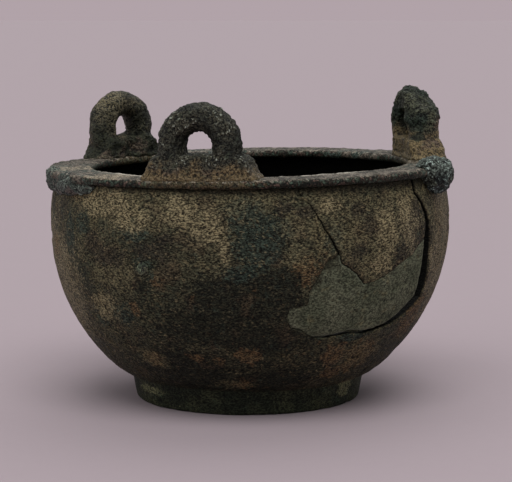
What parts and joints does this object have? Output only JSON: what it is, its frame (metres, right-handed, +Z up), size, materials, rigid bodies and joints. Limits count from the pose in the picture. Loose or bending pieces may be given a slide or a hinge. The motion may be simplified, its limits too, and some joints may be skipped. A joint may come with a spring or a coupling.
{
  "type": "hanging censer",
  "caption": "Round metal bowl on a ring foot with a flat lip and looped lugs for chains, its wall cracked and filled on one side.",
  "frame": {"origin": "centre of the foot's resting plane", "axes": "+Z up through the mouth, -Y towards the front lug"},
  "size_m": [0.1033, 0.1, 0.0779],
  "materials": {
    "wall_bronze": "matt corroded bronze, dark olive and ochre patina",
    "shard_bronze": "matt corroded bronze, ochre patina",
    "fill": "smooth matt grey-green repair fill",
    "lip_bronze": "matt corroded bronze, worn paler on top",
    "foot_bronze": "matt corroded bronze, dark green with worn edges",
    "lug_front_bronze": "rough corroded bronze with ochre soil at the pad",
    "lug_right_bronze": "rough corroded bronze, grey-green head and tan legs",
    "lug_back_bronze": "corroded bronze, tan and brown",
    "crust": "rough blue-green corrosion crust",
    "wart": "dark green corrosion wart"
  },
  "bodies": {
    "root": {"bowl": "wall_bronze", "wall_shard": "shard_bronze", "repair_fill": "fill", "lip_ring": "lip_bronze", "foot_ring": "foot_bronze", "lug_front": "lug_front_bronze", "lug_right": "lug_right_bronze", "lug_back": "lug_back_bronze", "crust_right": "crust", "crust_left": "crust", "crust_wart": "wart"}
  },
  "joints": []
}
